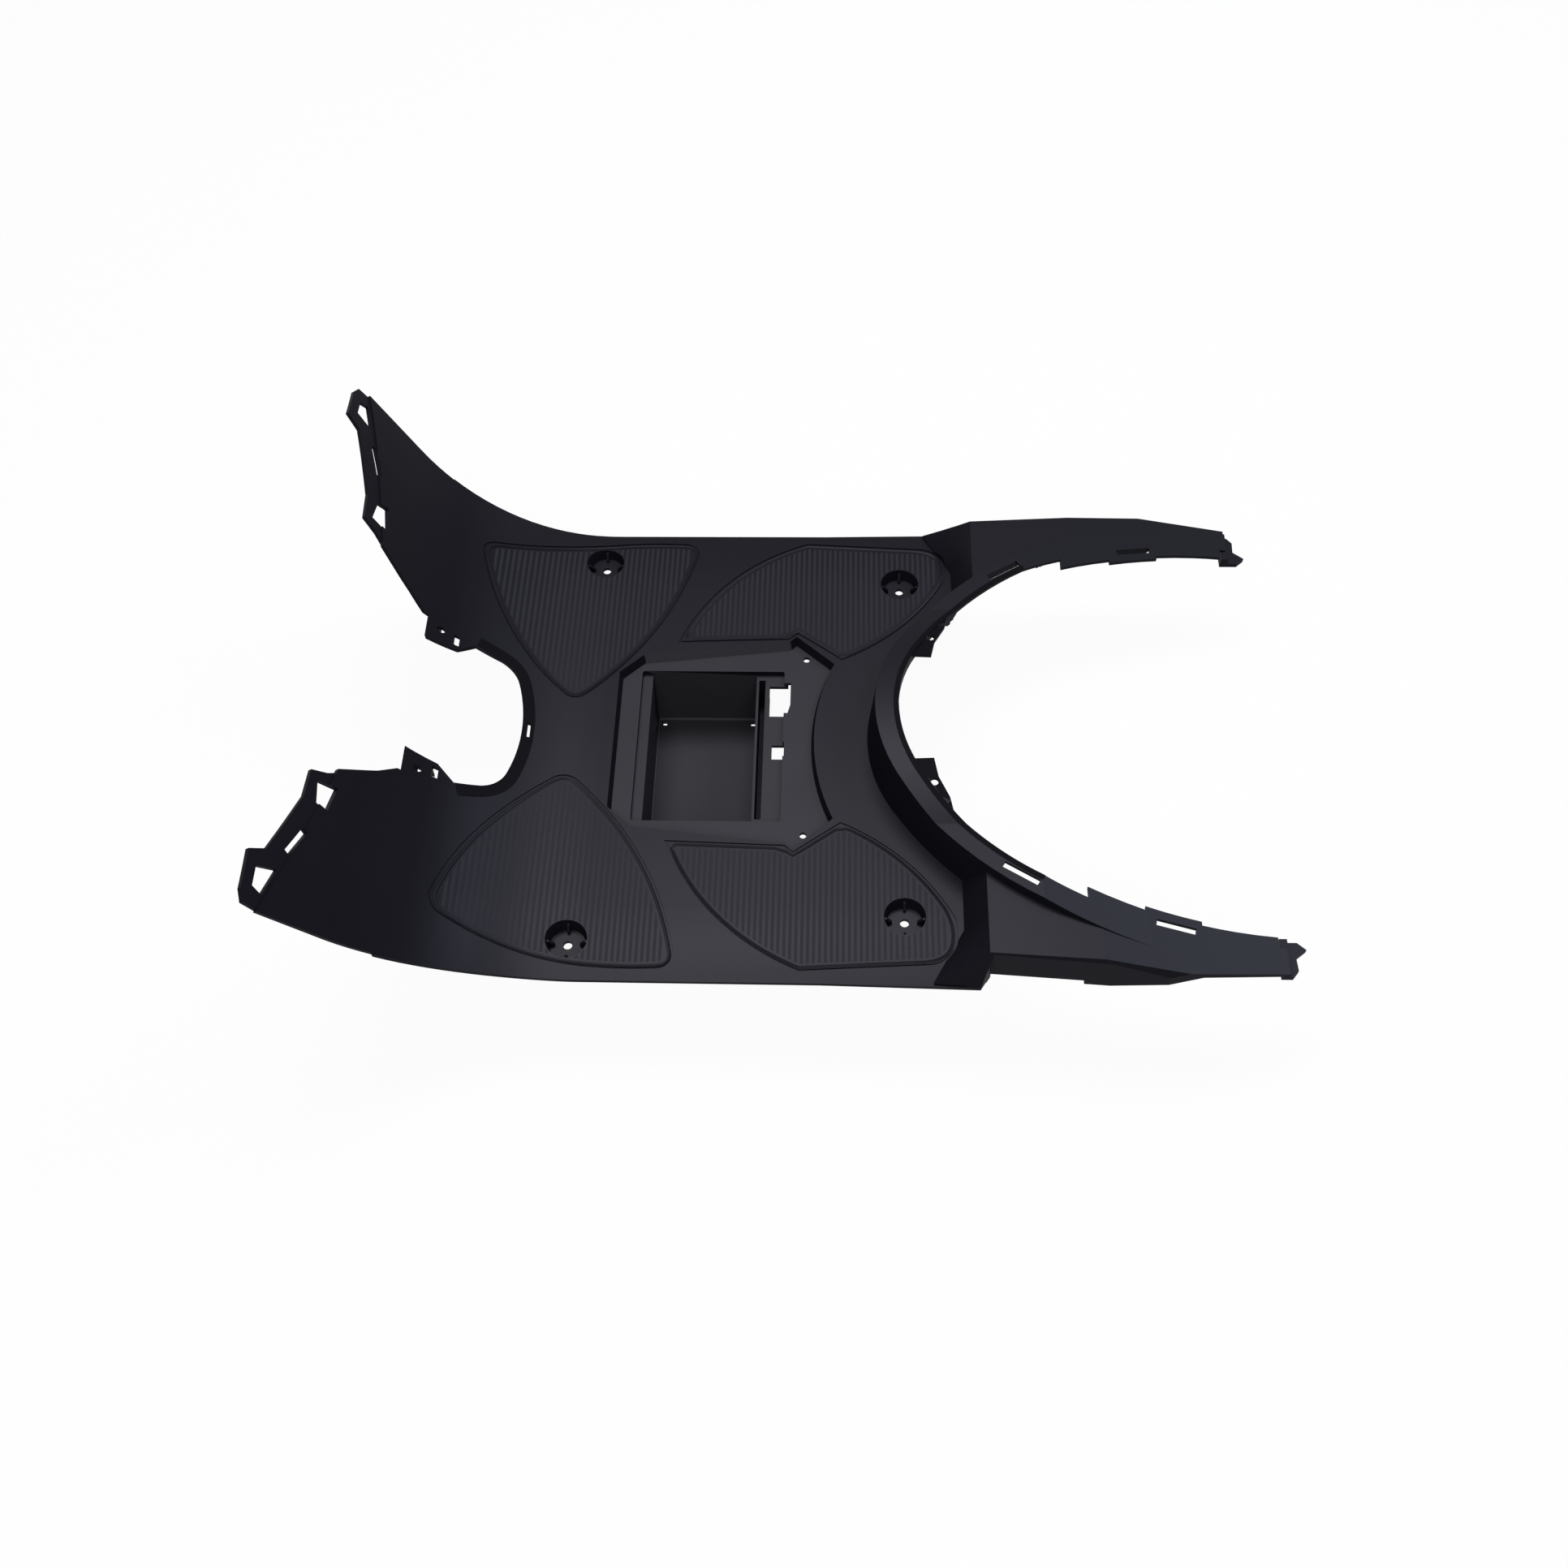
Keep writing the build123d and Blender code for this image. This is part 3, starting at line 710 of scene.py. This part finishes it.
@dataclass(frozen=True)
class LidRecess:
    """The recess for the lid: its sloping walls and its level floor."""

    half_outline: tuple[Point, ...] = (
        (-100.0, 63.0), (-82.0, 80.0), (33.0, 94.0), (38.0, 99.0), (68.0, 72.0),
    )
    rear_x: float = 53.0
    arc_step: float = 6.0
    flat_angle_deg: float = 1.0
    draft_run: float = 2.2
    depth: float = 7.95
    ledge_half_width: float = 102.0
    ledge_z: tuple[float, float] = (-15.0, -5.0)
    # Least upward part of a normal on the floor, and least part to the left on the right wall.
    ledge_level: float = 0.5
    wall_facing: float = 0.9

    def build(self) -> bpy.types.Object:
        """Builds the walls by setting the recess's outline inwards and down.

        Returns:
            The finished mesh object.
        """
        lug = self.half_outline[-1]
        rear = bowed_side(lug, (self.rear_x, 0.0), (lug[0], -lug[1]), self.arc_step)[1:-1]
        left = [(x, -y) for x, y in reversed(self.half_outline)]
        walls = closed_curve([[*self.half_outline, *rear, *left]], dimensions="2D", fill_mode="BOTH")
        flat_angle = math.radians(self.flat_angle_deg)
        bpy.ops.object.mode_set(mode="EDIT")
        bpy.ops.mesh.select_all(action="SELECT")
        bpy.ops.mesh.remove_doubles(threshold=MERGE_GAP)
        bpy.ops.mesh.dissolve_limited(angle_limit=flat_angle, use_dissolve_boundaries=False)
        bpy.ops.mesh.normals_make_consistent(inside=False)
        bpy.ops.mesh.inset(thickness=self.draft_run, depth=0)
        bpy.ops.transform.translate(value=(0, 0, -self.depth))
        bpy.ops.mesh.delete(type="ONLY_FACE")
        bpy.ops.object.mode_set(mode="OBJECT")
        FLOOR.lay(walls)
        walls.name = "recess_walls"
        return walls

    def dress(self, walls: bpy.types.Object, plastics: Plastics) -> None:
        """Gives the walls the skin's plastic, and the right wall a lighter one, painted light."""
        put_on(walls, plastics, [Finish.SKIN, Finish.PAINTED_HIGHLIGHT], self.wall_finish)

    def wall_finish(self, face: bpy.types.MeshPolygon) -> Finish:
        """The finish of a face of the walls."""
        # Walls that face -y get the lighter plastic, painted light.
        return Finish.PAINTED_HIGHLIGHT if face.normal.y < -self.wall_facing else Finish.SKIN

    def holds(self, spot: Spot, upward: float) -> bool:
        """Whether a face of the panel lies on the recess's floor.

        Args:
            spot: The middle of the face.
            upward: The upward part of its normal.

        Returns:
            True if it does.
        """
        x, y, z = spot
        along = self.half_outline[0][0] < x < self.half_outline[-1][0]
        across = abs(y) < self.ledge_half_width
        low, high = self.ledge_z
        return along and across and low < z < high and upward > self.ledge_level


@dataclass(frozen=True)
class BatteryBox:
    """The inside of the battery box, with the rounded foot of its walls."""

    front_x: float = -75.0
    rear_x: float = 7.0
    half_width: float = 70.0
    floor_z: float = -72.0
    mouth_z: float = -10.0
    margin: float = 1.0
    # A face whose normal has a lower upward part than this belongs to the underside.
    underside: float = -0.5
    foot_radius: float = 1.8
    foot_resolution: int = 3

    def build(self) -> bpy.types.Object:
        """Builds the foot as a round run along the walls.

        Returns:
            The finished mesh object.
        """
        wide = self.half_width
        run = [(self.front_x, wide), (self.rear_x, wide), (self.rear_x, -wide), (self.front_x, -wide)]
        foot = closed_curve(
            [run], dimensions="3D", bevel_depth=self.foot_radius, bevel_resolution=self.foot_resolution
        )
        FLOOR.lay(foot, above=self.floor_z)
        foot.name = "box_fillet"
        shade_smooth(foot)
        return foot

    def dress(self, foot: bpy.types.Object, plastics: Plastics) -> None:
        """Gives the foot the lighter plastic, a painted highlight along the foot of the box's walls."""
        put_on(foot, plastics, [Finish.PAINTED_HIGHLIGHT])

    def holds(self, spot: Spot, upward: float) -> bool:
        """Whether a face of the panel lies inside the box.

        Args:
            spot: The middle of the face.
            upward: The upward part of its normal.

        Returns:
            True if it does.
        """
        x, y, z = spot
        along = self.front_x - self.margin < x < self.rear_x + self.margin
        across = abs(y) < self.half_width + self.margin
        deep = self.floor_z - self.margin < z < self.mouth_z
        return along and across and deep and upward > self.underside


@dataclass(frozen=True)
class Arc:
    """A stretch of an edge that bends evenly."""

    radius: float
    sweep_deg: float


@dataclass(frozen=True)
class EdgeShadeBand:
    """A thin dark band of painted shade along the rolled edge of a cut-out, drawn as tangent arcs from the
    middle outwards.
    """

    name: str
    edge_x: float
    opens: Opening
    arcs: tuple[Arc, ...]
    width: float
    sheet: FloorSheet = FLOOR
    slot: Point | None = None
    slot_half_length: float = 6.5
    lift: float = 0.3
    step: float = 3.0

    def half_edge(self, inset: float) -> list[Point]:
        """Points along the right half of the edge.

        Args:
            inset: How far from the edge they lie, on the panel's side.

        Returns:
            The points, from the middle outwards.
        """
        turn = self.opens.value
        x, y, heading = self.edge_x, 0.0, 0.0
        points: list[Point] = [(x - turn * inset, y)]
        for arc in self.arcs:
            sweep = math.radians(arc.sweep_deg)
            count = math.ceil(arc.radius * sweep / self.step)
            centre_x = x + turn * arc.radius * math.cos(heading)
            centre_y = y - arc.radius * math.sin(heading)
            for i in range(1, count + 1):
                angle = heading + sweep * i / count
                x = centre_x - turn * arc.radius * math.cos(angle)
                y = centre_y + arc.radius * math.sin(angle)
                points.append((x - turn * inset * math.cos(angle), y + inset * math.sin(angle)))
            heading += sweep
        return points

    def build(self) -> bpy.types.Object:
        """Builds the painted shade as a thin band laid on the panel.

        Returns:
            The finished mesh object.
        """
        runs = []
        for inset in (0.0, self.width):
            half = self.half_edge(inset)
            runs.append([(x, -y) for x, y in reversed(half[1:])] + half)
        outlines = [[*runs[0], *reversed(runs[1])]]
        if self.slot:
            (front, rear), half_length = self.slot, self.slot_half_length
            outlines.append(
                [(front, -half_length), (rear, -half_length), (rear, half_length), (front, half_length)]
            )
        lip = closed_curve(outlines, dimensions="2D", fill_mode="BOTH")
        self.sheet.lay(lip, above=self.lift)
        lip.name = self.name
        shade_smooth(lip)
        return lip

    def dress(self, lip: bpy.types.Object, plastics: Plastics) -> None:
        """Gives the band the matt plastic, whose darkness is the painted shade of the rolled edge."""
        put_on(lip, plastics, [Finish.MATT])


@dataclass(frozen=True)
class RearShadeBand(EdgeShadeBand):
    """The band of painted shade along the rolled edge of the rear rim, with the two screw tabs that reach
    past it into the cut-out.
    """

    sheet: FloorSheet = RimCrest()
    tab_y: tuple[float, float] = (45.0, 95.0)
    tab_end_x: float = 158.0

    def on_tab(self, spot: Spot) -> bool:
        """Whether a spot of the panel lies on one of the tabs.

        Args:
            spot: The place to test.

        Returns:
            True if it does.
        """
        x, y = spot[0], abs(spot[1])
        inner, outer = self.tab_y
        if not inner < y < outer or x > self.tab_end_x:
            return False
        return x > next(edge_x for edge_x, edge_y in self.half_edge(0.0) if edge_y >= y)


@dataclass
class Floorboard:
    """The panel with its finish, its foot pads and its fine edges."""

    pads: tuple[FootPad, ...] = (
        FootPad(
            "front_pad",
            corners=(
                Corner((-133.0, 34.0), 12.0, (-81.0, 94.0)),
                Corner((-43.0, 195.0), 12.0, (-130.0, 192.0)),
                Corner((-214.0, 167.0), 12.0, (-185.0, 91.0)),
            ),
            pit=(-120.0, 175.0),
        ),
        FootPad(
            "rear_pad",
            corners=(
                Corner((-53.0, 94.0), 0.0, (-20.0, 150.0)),
                Corner((45.0, 196.5), 0.0),
                Corner((156.0, 190.0), 20.0),
                Corner((155.0, 157.0), 10.0, (120.0, 109.0)),
                Corner((74.0, 77.0), 0.0),
                Corner((39.0, 103.0), 0.0),
                Corner((32.0, 97.0), 0.0),
            ),
            pit=(120.0, 154.0),
        ),
    )
    front_edge_shade: EdgeShadeBand = EdgeShadeBand(
        "front_edge_shade", edge_x=-168.7, opens=Opening.FRONT, width=9.0, slot=(-165.4, -162.8),
        arcs=(Arc(139.3, 18.0), Arc(25.0, 50.2), Arc(150.0, 7.1)),
    )
    rear_edge_shade: RearShadeBand = RearShadeBand(
        "rear_edge_shade", edge_x=116.0, opens=Opening.REAR, width=4.0, arcs=(Arc(108.6, 29.4), Arc(229.9, 31.0))
    )
    recess: LidRecess = LidRecess()
    box: BatteryBox = BatteryBox()
    pad_pieces: list[tuple[FootPad, bpy.types.Object, bpy.types.Object]] = field(default_factory=list)
    edge_shade_pieces: list[bpy.types.Object] = field(default_factory=list)
    recess_walls: bpy.types.Object | None = None
    box_foot: bpy.types.Object | None = None

    def build(self) -> None:
        """Builds both pads of each pair, the bands of painted shade on the cut-outs' edges, the walls of the
        recess and the foot of the box.
        """
        for pad in self.pads:
            for side in Side:
                self.pad_pieces.append((pad, *pad.build(side)))
        self.edge_shade_pieces = [self.front_edge_shade.build(), self.rear_edge_shade.build()]
        self.recess_walls = self.recess.build()
        self.box_foot = self.box.build()

    def dress(self) -> None:
        """Gives the panel and its pieces their plastics, and fixes the pieces to the panel."""
        plastics = {finish: finish.value.build() for finish in Finish}
        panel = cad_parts[PANEL_NODE]
        put_on(panel, plastics, [Finish.SKIN, Finish.PAINTED_LIGHT_WELL, Finish.MATT], self.panel_finish)
        for pad, ridges, bead in self.pad_pieces:
            pad.dress(ridges, bead, plastics)
        for lip, piece in zip((self.front_edge_shade, self.rear_edge_shade), self.edge_shade_pieces):
            lip.dress(piece, plastics)
        self.recess.dress(self.recess_walls, plastics)
        self.box.dress(self.box_foot, plastics)
        for piece in self.pieces():
            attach(piece, BODY)

    def panel_finish(self, face: bpy.types.MeshPolygon) -> Finish:
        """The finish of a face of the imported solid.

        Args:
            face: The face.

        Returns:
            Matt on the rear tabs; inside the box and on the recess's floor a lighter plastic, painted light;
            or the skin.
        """
        spot, upward = FLOOR.spot(face.center), face.normal.z
        if self.rear_edge_shade.on_tab(spot):
            return Finish.MATT
        # Inside the box and on the recess's floor, the lighter plastic is painted light.
        if self.box.holds(spot, upward) or self.recess.holds(spot, upward):
            return Finish.PAINTED_LIGHT_WELL
        return Finish.SKIN

    def pieces(self) -> list[bpy.types.Object]:
        """All the pieces that were built on the panel."""
        ridges = [ridges for _, ridges, _ in self.pad_pieces]
        beads = [bead for _, _, bead in self.pad_pieces]
        return [*ridges, *beads, *self.edge_shade_pieces, self.recess_walls, self.box_foot]


@dataclass(frozen=True)
class Softbox:
    """An oblong lamp with a soft edge, aimed at the panel."""

    name: str
    position: Spot
    size: tuple[float, float]
    power: float
    colour: Colour = (1.0, 0.98, 1.1)

    def build(self, target: Vector) -> None:
        """Hangs the lamp and turns it towards a point.

        Args:
            target: The point.
        """
        lamp = bpy.data.lights.new(self.name, "AREA")
        lamp.shape = "RECTANGLE"
        lamp.size, lamp.size_y = self.size
        lamp.energy = self.power
        lamp.color = self.colour
        holder = bpy.data.objects.new(self.name, lamp)
        holder.location = self.position
        holder.rotation_euler = (target - Vector(self.position)).to_track_quat("-Z", "Y").to_euler()
        bpy.context.collection.objects.link(holder)


@dataclass(frozen=True)
class Camera:
    """The camera, where the photograph was taken from."""

    position: Spot = (0.19119, -0.76857, 1.09635)
    aim: Spot = (0.15125, -0.0417, 0.013)
    roll_deg: float = -2.13
    focal_px: float = 2150.0
    image_px: float = 1932.0

    def build(self) -> None:
        """Sets up the camera and makes it the scene's own."""
        lens = bpy.data.cameras.new("camera")
        lens.sensor_fit = "HORIZONTAL"
        lens.lens = lens.sensor_width * self.focal_px / self.image_px
        holder = bpy.data.objects.new("camera", lens)
        look = (Vector(self.aim) - Vector(self.position)).to_track_quat("-Z", "Y").to_matrix().to_4x4()
        turn = Matrix.Rotation(math.radians(self.roll_deg), 4, "Z")
        holder.matrix_world = Matrix.Translation(self.position) @ look @ turn
        bpy.context.collection.objects.link(holder)
        bpy.context.scene.camera = holder


@dataclass(frozen=True)
class Studio:
    """A pale floor with pale walls, soft lamps and an even surround."""

    floor_half: float = 6.0
    wall_height: float = 2.5
    floor_colour: Colour = (0.86, 0.86, 0.87)
    floor_roughness: float = 0.9
    backlit_share: float = 0.95
    surround: float = 0.1
    lamps: tuple[Softbox, ...] = (
        Softbox("key_softbox", position=(-0.05, 0.7, 2.15), size=(1.5, 0.65), power=32.0),
        Softbox(
            "side_softbox", position=(1.47, 0.83, 1.71), size=(0.7, 0.7), power=12.0,
            colour=(0.85, 0.94, 1.2),
        ),
        Softbox("fill_softbox", position=(0.2, -1.6, 1.7), size=(1.2, 1.2), power=22.0),
    )

    def build(self) -> None:
        """Builds the floor, hangs the lamps and sets the surround."""
        low, high = (Vector(corner) for corner in CAD_BOX)
        middle = (low + high) / 2
        self.build_floor(Vector((middle.x, middle.y, low.z)))
        for lamp in self.lamps:
            lamp.build(middle)
        world = bpy.data.worlds.new("surround")
        world.use_nodes = True
        world.node_tree.nodes["Background"].inputs["Strength"].default_value = self.surround
        world.node_tree.nodes["Background"].inputs["Color"].default_value = (1, 1, 1, 1)
        bpy.context.scene.world = world

    def build_floor(self, centre: Vector) -> None:
        """Builds the floor and draws its edges up into walls.

        Args:
            centre: The middle of the floor, under the panel.
        """
        bpy.ops.object.select_all(action="DESELECT")
        bpy.ops.mesh.primitive_plane_add(size=2 * self.floor_half, location=centre)
        floor = bpy.context.active_object
        floor.name = "studio_floor"
        bpy.ops.object.transform_apply(location=True, rotation=True, scale=True)
        bpy.ops.object.mode_set(mode="EDIT")
        bpy.ops.mesh.select_mode(type="EDGE")
        bpy.ops.mesh.select_all(action="SELECT")
        bpy.ops.mesh.extrude_edges_move(TRANSFORM_OT_translate={"value": (0, 0, self.wall_height)})
        bpy.ops.object.mode_set(mode="OBJECT")
        floor.data.materials.append(self.floor_material())

    def floor_material(self) -> bpy.types.Material:
        """A pale matt sheet, partly lit from behind where it is seen straight, mirrored or through glass.

        Returns:
            The new material.
        """
        material = bpy.data.materials.new("studio_floor")
        material.use_nodes = True
        nodes, links = material.node_tree.nodes, material.node_tree.links
        matt = nodes["Principled BSDF"]
        matt.inputs["Base Color"].default_value = (*self.floor_colour, 1)
        matt.inputs["Roughness"].default_value = self.floor_roughness
        matt.inputs["Specular IOR Level"].default_value = 0.0
        glow = nodes.new("ShaderNodeEmission")
        rays = nodes.new("ShaderNodeLightPath")
        seen = rays.outputs["Is Camera Ray"]
        for kind in ("Is Glossy Ray", "Is Transmission Ray"):
            either = nodes.new("ShaderNodeMath")
            either.operation = "MAXIMUM"
            links.new(seen, either.inputs[0])
            links.new(rays.outputs[kind], either.inputs[1])
            seen = either.outputs["Value"]
        share = nodes.new("ShaderNodeMath")
        share.operation = "MULTIPLY"
        share.inputs[1].default_value = self.backlit_share
        mix = nodes.new("ShaderNodeMixShader")
        links.new(seen, share.inputs[0])
        links.new(share.outputs["Value"], mix.inputs["Fac"])
        links.new(matt.outputs["BSDF"], mix.inputs[1])
        links.new(glow.outputs["Emission"], mix.inputs[2])
        links.new(mix.outputs["Shader"], nodes["Material Output"].inputs["Surface"])
        return material


def main() -> None:
    """Builds the floorboard's looks, the studio and the camera, and logs the faces of each piece."""
    logging.basicConfig(level=logging.INFO)
    bpy.context.scene.view_settings.view_transform = "Standard"
    board = Floorboard()
    board.build()
    board.dress()
    for piece in board.pieces():
        LOG.info("%s: %d faces", piece.name, len(piece.data.polygons))
    Studio().build()
    Camera().build()


if __name__ == "__main__":
    main()
